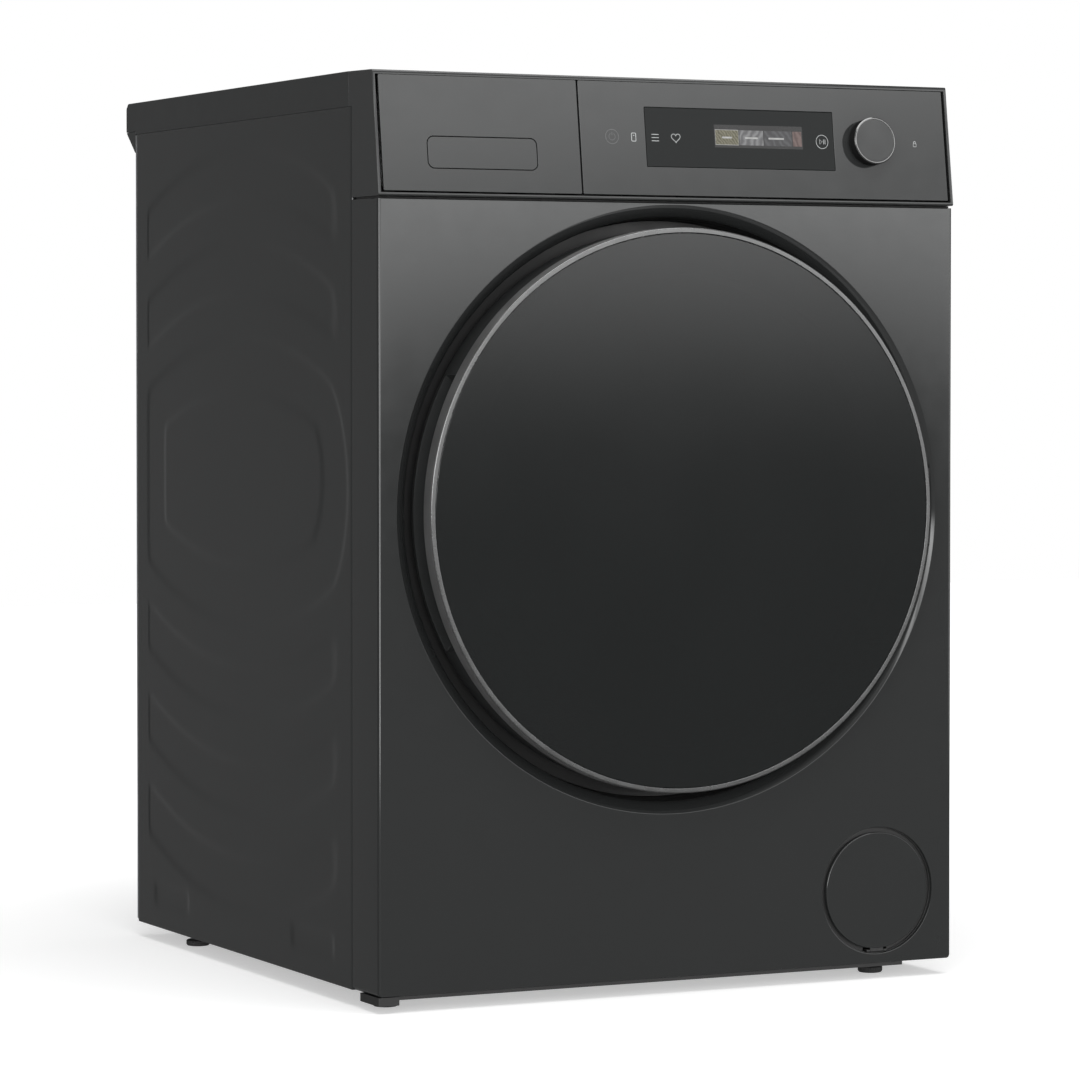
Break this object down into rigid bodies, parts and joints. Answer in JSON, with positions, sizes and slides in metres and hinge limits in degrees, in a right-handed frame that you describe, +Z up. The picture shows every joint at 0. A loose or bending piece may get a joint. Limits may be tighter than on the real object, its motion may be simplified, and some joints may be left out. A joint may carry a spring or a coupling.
{
  "type": "clothes dryer",
  "caption": "Free-standing front-loading heat pump dryer with a round glass door, raked fascia with knob and display, tank drawer and round service hatch.",
  "frame": {"origin": "centre of the footprint on the floor, at the bottom of the feet", "axes": "+Z up, -Y out of the door, +X to the right seen from the front"},
  "size_m": [0.6, 0.6582, 0.85],
  "materials": {
    "cabinet_steel": "fine satin graphite paint",
    "fascia_plastic": "painted satin graphite",
    "black_plastic": "fine moulded texture",
    "grey_plastic": "moulded",
    "pale_plastic": "moulded, slightly translucent",
    "drum_steel": "brushed stainless",
    "zinc_steel": "galvanised sheet",
    "trim_metal": "satin dark anodised",
    "dark_glass": "dark tinted gloss",
    "clear_glass": "clear",
    "rubber": "matt",
    "felt": "pressed wool felt",
    "fin_aluminium": "thin plain fins",
    "copper": "drawn copper tube",
    "circuit_board": "coated board"
  },
  "bodies": {
    "cabinet": {"left_side_panel": "cabinet_steel", "right_side_panel": "cabinet_steel", "front_panel": "cabinet_steel", "door_surround": "black_plastic", "rear_panel": "zinc_steel", "rear_duct_cover": "zinc_steel", "mains_gland": "black_plastic", "recess_floor": "black_plastic", "worktop": "fascia_plastic", "worktop_rear_strip": "fascia_plastic", "base_tray": "black_plastic", "fascia_frame": "fascia_plastic", "control_panel": "fascia_plastic", "display_glass": "dark_glass", "control_board": "circuit_board", "tank_sleeve": "grey_plastic", "door_lock": "black_plastic", "door_hinge_bracket": "drum_steel", "front_bulkhead": "grey_plastic", "moisture_sensor": "drum_steel", "drum_lamp": "clear_glass", "front_drum_seal": "felt", "rear_bulkhead": "zinc_steel", "drum_bearing": "drum_steel", "motor": "zinc_steel", "drive_belt": "rubber", "fan_housing": "pale_plastic", "compressor": "black_plastic", "evaporator": "fin_aluminium", "condenser": "fin_aluminium", "refrigerant_line": "copper", "condensate_pump": "grey_plastic", "hatch_housing": "black_plastic"},
    "door": {"door_trim_ring": "trim_metal", "door_glass": "dark_glass", "door_body": "black_plastic", "door_inner_frame": "grey_plastic", "door_bowl": "clear_glass", "door_seal": "rubber", "door_latch_hook": "drum_steel", "door_hinge_leaf": "drum_steel"},
    "tank_drawer": {"drawer_front": "fascia_plastic", "water_tank": "pale_plastic"},
    "flap": {"drawer_flap": "fascia_plastic"},
    "knob": {"selector_knob": "trim_metal"},
    "hatch": {"hatch_cover": "fascia_plastic"},
    "cap": {"filter_cap": "grey_plastic"},
    "filter": {"lint_filter": "pale_plastic"},
    "drum_body": {"drum": "drum_steel", "drum_lifter_1": "grey_plastic", "drum_lifter_2": "grey_plastic", "drum_lifter_3": "grey_plastic"},
    "rotor": {"motor_shaft": "drum_steel", "fan_wheel": "grey_plastic"},
    "roller_l": {"drum_roller_left": "rubber"},
    "roller_r": {"drum_roller_right": "rubber"},
    "foot_fl": {"foot_front_left": "rubber"},
    "foot_fr": {"foot_front_right": "rubber"},
    "foot_rl": {"foot_rear_left": "rubber"},
    "foot_rr": {"foot_rear_right": "rubber"}
  },
  "joints": [
    {"name": "door_swing", "type": "hinge", "parent": "cabinet", "child": "door", "pos_m": [0.2645, -0.3141, 0.4495], "axis": [0, 0, 1], "range_deg": [0, 150]},
    {"name": "tank_drawer_slide", "type": "slide", "parent": "cabinet", "child": "tank_drawer", "axis": [0, -1, 0], "range_m": [0, 0.4]},
    {"name": "drawer_flap_tip", "type": "hinge", "parent": "tank_drawer", "child": "flap", "pos_m": [-0.1945, -0.29275, 0.78626], "axis": [1, 0, 0], "range_deg": [0, 60], "stiffness_Nm_per_rad": 0.05},
    {"name": "selector_knob_turn", "type": "hinge", "parent": "cabinet", "child": "knob", "pos_m": [0.211, -0.2964, 0.7938], "axis": [0, -0.9914, 0.1305], "continuous": true},
    {"name": "hatch_swing", "type": "hinge", "parent": "cabinet", "child": "hatch", "pos_m": [0.2185, -0.3003, 0.0272], "axis": [1, 0, 0], "range_deg": [0, 95]},
    {"name": "filter_cap_turn", "type": "hinge", "parent": "cabinet", "child": "cap", "pos_m": [0.2185, -0.2681, 0.0847], "axis": [0, -1, 0], "range_deg": [0, 90]},
    {"name": "lint_filter_lift", "type": "slide", "parent": "cabinet", "child": "filter", "axis": [0, 0, 1], "range_m": [0, 0.13]},
    {"name": "drum_turn", "type": "hinge", "parent": "cabinet", "child": "drum_body", "pos_m": [0, 0.0329, 0.4495], "axis": [0, 1, 0], "continuous": true},
    {"name": "motor_turn", "type": "hinge", "parent": "cabinet", "child": "rotor", "pos_m": [0.035, 0.1429, 0.092], "axis": [0, 1, 0], "continuous": true},
    {"name": "roller_left_turn", "type": "hinge", "parent": "cabinet", "child": "roller_l", "pos_m": [-0.17987, -0.1651, 0.19261], "axis": [0, 1, 0], "continuous": true},
    {"name": "roller_right_turn", "type": "hinge", "parent": "cabinet", "child": "roller_r", "pos_m": [0.17987, -0.1651, 0.19261], "axis": [0, 1, 0], "continuous": true},
    {"name": "foot_fl_screw", "type": "slide", "parent": "cabinet", "child": "foot_fl", "axis": [0, 0, 1], "range_m": [-0.008, 0]},
    {"name": "foot_fr_screw", "type": "slide", "parent": "cabinet", "child": "foot_fr", "axis": [0, 0, 1], "range_m": [-0.008, 0]},
    {"name": "foot_rl_screw", "type": "slide", "parent": "cabinet", "child": "foot_rl", "axis": [0, 0, 1], "range_m": [-0.008, 0]},
    {"name": "foot_rr_screw", "type": "slide", "parent": "cabinet", "child": "foot_rr", "axis": [0, 0, 1], "range_m": [-0.008, 0]}
  ],
  "couplings": [
    {"joint": "motor_turn", "follows": "drum_turn", "ratio": 27.162},
    {"joint": "roller_left_turn", "follows": "drum_turn", "ratio": -9.4333},
    {"joint": "roller_right_turn", "follows": "drum_turn", "ratio": -9.4333}
  ]
}
